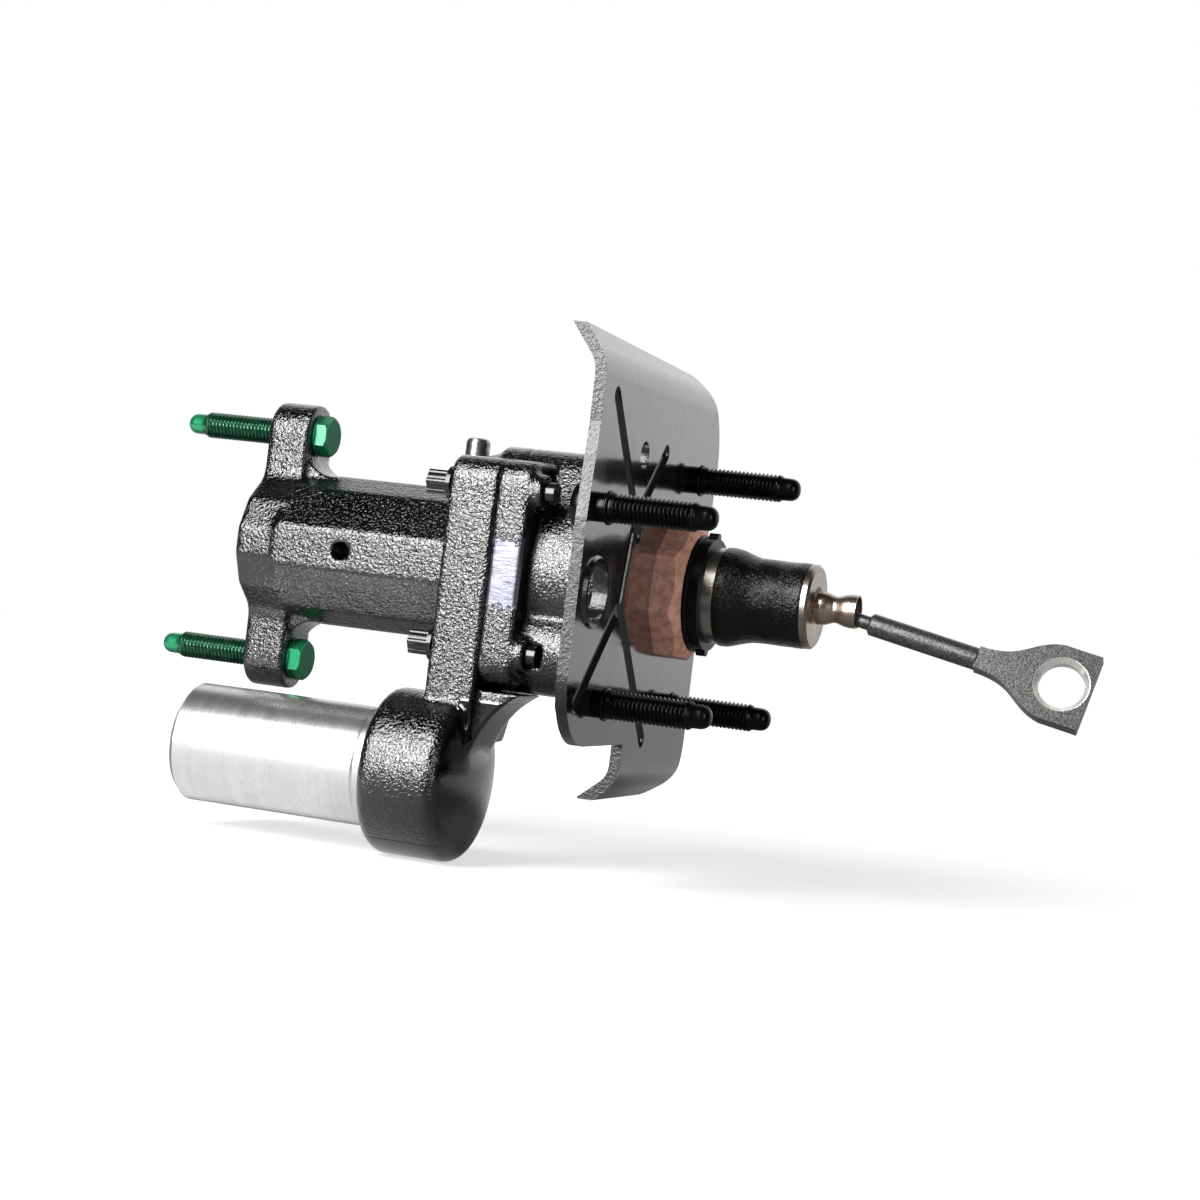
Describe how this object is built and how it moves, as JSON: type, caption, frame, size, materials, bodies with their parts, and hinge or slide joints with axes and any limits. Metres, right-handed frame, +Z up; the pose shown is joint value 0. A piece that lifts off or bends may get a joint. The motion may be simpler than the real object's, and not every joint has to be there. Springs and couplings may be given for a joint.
{
  "type": "hydraulic brake booster",
  "caption": "Hydraulic brake booster: cast body with an eared nose, accumulator canister below, ribbed firewall bracket with studs and a ball-jointed pedal rod with a flat eye.",
  "frame": {"origin": "booster axis at the bracket's rear face, which meets the firewall", "axes": "+X along the booster axis towards the pedal rod, +Z up with the accumulator below"},
  "size_m": [0.3599, 0.1441, 0.1915],
  "materials": {
    "cast_black": "gloss black paint over the rough casting",
    "bracket_black": "satin black coating",
    "green_steel": "green translucent coating",
    "copper": "copper-coloured plating, satin",
    "steel": "machined",
    "dark_steel": "forged, dark",
    "black_steel": "black oxide",
    "bronze": "satin bronze",
    "aluminium": "turned",
    "rubber": "matte",
    "plastic": "matte"
  },
  "bodies": {
    "booster": {"cover_casting": "cast_black", "housing_casting": "cast_black", "cover_seals": "rubber", "cover_bolts": "black_steel", "accumulator_canister": "aluminium", "canister_snap_ring": "steel", "spool_plug": "steel", "plug_snap_ring": "steel", "spool_spring": "steel", "lever_pin": "steel", "input_seal": "rubber", "return_spring": "steel", "mounting_bracket": "bracket_black", "bracket_studs": "black_steel", "bracket_nut": "copper", "lock_ring": "black_steel", "clip_ring": "black_steel", "boot": "rubber", "flange_bolts": "green_steel", "tube_seats": "steel", "return_nipple": "steel"},
    "power_piston": {"power_piston": "steel", "piston_seal": "rubber", "output_rod": "steel", "spring_retainer": "steel", "rod_sleeve": "bronze"},
    "ball_seat": {"ball_seat": "plastic"},
    "pedal_rod": {"pedal_rod": "dark_steel"},
    "spool_valve": {"spool_valve": "steel"},
    "valve_lever": {"valve_lever": "steel"},
    "accumulator_piston": {"accumulator_piston": "aluminium", "accumulator_seal": "rubber"}
  },
  "joints": [
    {"name": "piston_slide", "type": "slide", "parent": "booster", "child": "power_piston", "axis": [-1, 0, 0], "range_m": [0, 0.027], "stiffness_N_per_m": 2000, "springref_m": -0.04, "deforming": ["return_spring", "boot"]},
    {"name": "rod_yaw", "type": "hinge", "parent": "power_piston", "child": "ball_seat", "pos_m": [0.057, 0, 0], "axis": [0, 0, 1], "range_deg": [-4, 4]},
    {"name": "rod_pitch", "type": "hinge", "parent": "ball_seat", "child": "pedal_rod", "pos_m": [0.057, 0, 0], "axis": [0, -1, 0], "range_deg": [0, 22.6]},
    {"name": "spool_slide", "type": "slide", "parent": "booster", "child": "spool_valve", "axis": [-1, 0, 0], "range_m": [0, 0.0012], "stiffness_N_per_m": 2000, "springref_m": -0.003, "deforming": ["spool_spring"]},
    {"name": "lever_turn", "type": "hinge", "parent": "booster", "child": "valve_lever", "pos_m": [-0.0515, -0.006, 0.0227], "axis": [0, -1, 0], "range_deg": [0, 14.03]},
    {"name": "accumulator_slide", "type": "slide", "parent": "booster", "child": "accumulator_piston", "axis": [-1, 0, 0], "range_m": [0, 0.034], "stiffness_N_per_m": 1500, "springref_m": -0.02}
  ],
  "couplings": [
    {"joint": "lever_turn", "follows": "spool_slide", "rad_per_m": 204.08}
  ]
}
